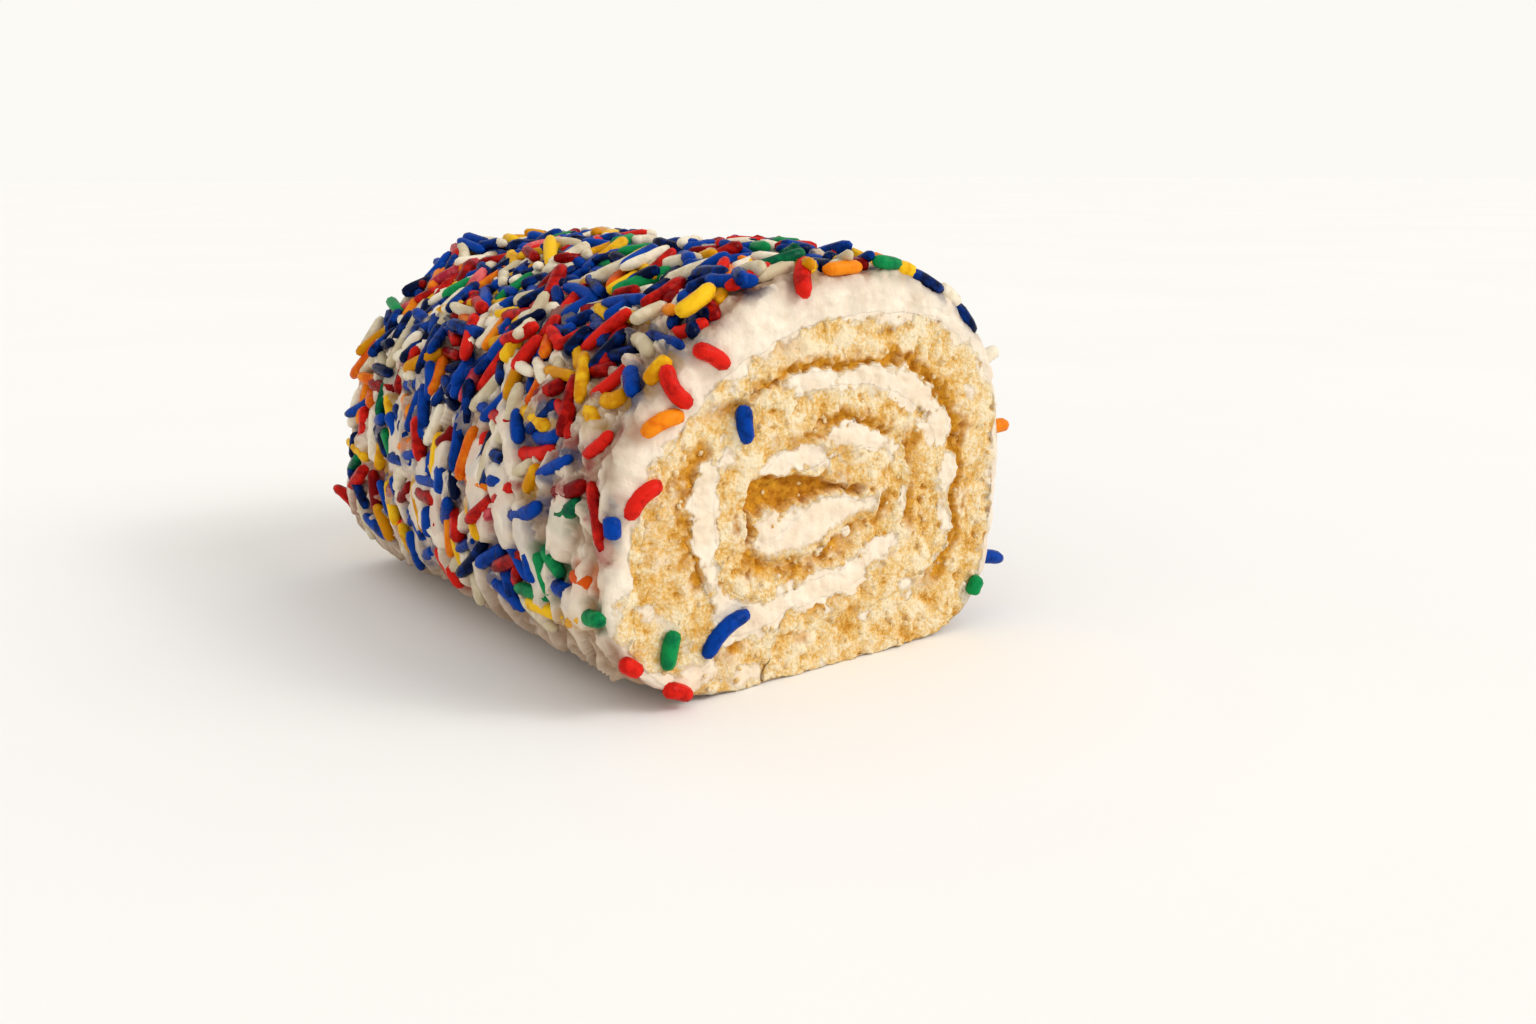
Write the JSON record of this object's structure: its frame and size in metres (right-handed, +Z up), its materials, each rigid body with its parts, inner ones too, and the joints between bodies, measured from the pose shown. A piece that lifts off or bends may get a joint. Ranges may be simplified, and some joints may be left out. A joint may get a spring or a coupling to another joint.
{
  "type": "swiss roll cake",
  "caption": "Frosted swiss roll cake, cut square at both ends, with a spiral of sponge and cream and a coat of coloured sugar strands.",
  "frame": {"origin": "on the flat face that the roll rests on, halfway along its length and across its width without the strands", "axes": "+Y along the roll, with its best cut end facing -Y, and +Z up"},
  "size_m": [0.0613, 0.0757, 0.0483],
  "materials": {
    "sponge": "pale golden open sponge crumb, browned next to the cream",
    "cream": "soft ivory cream",
    "frosting": "warm white frosting with glossy coloured sugar strands"
  },
  "bodies": {
    "root": {"sponge": "sponge", "cream": "cream", "frosting": "frosting"}
  },
  "joints": []
}
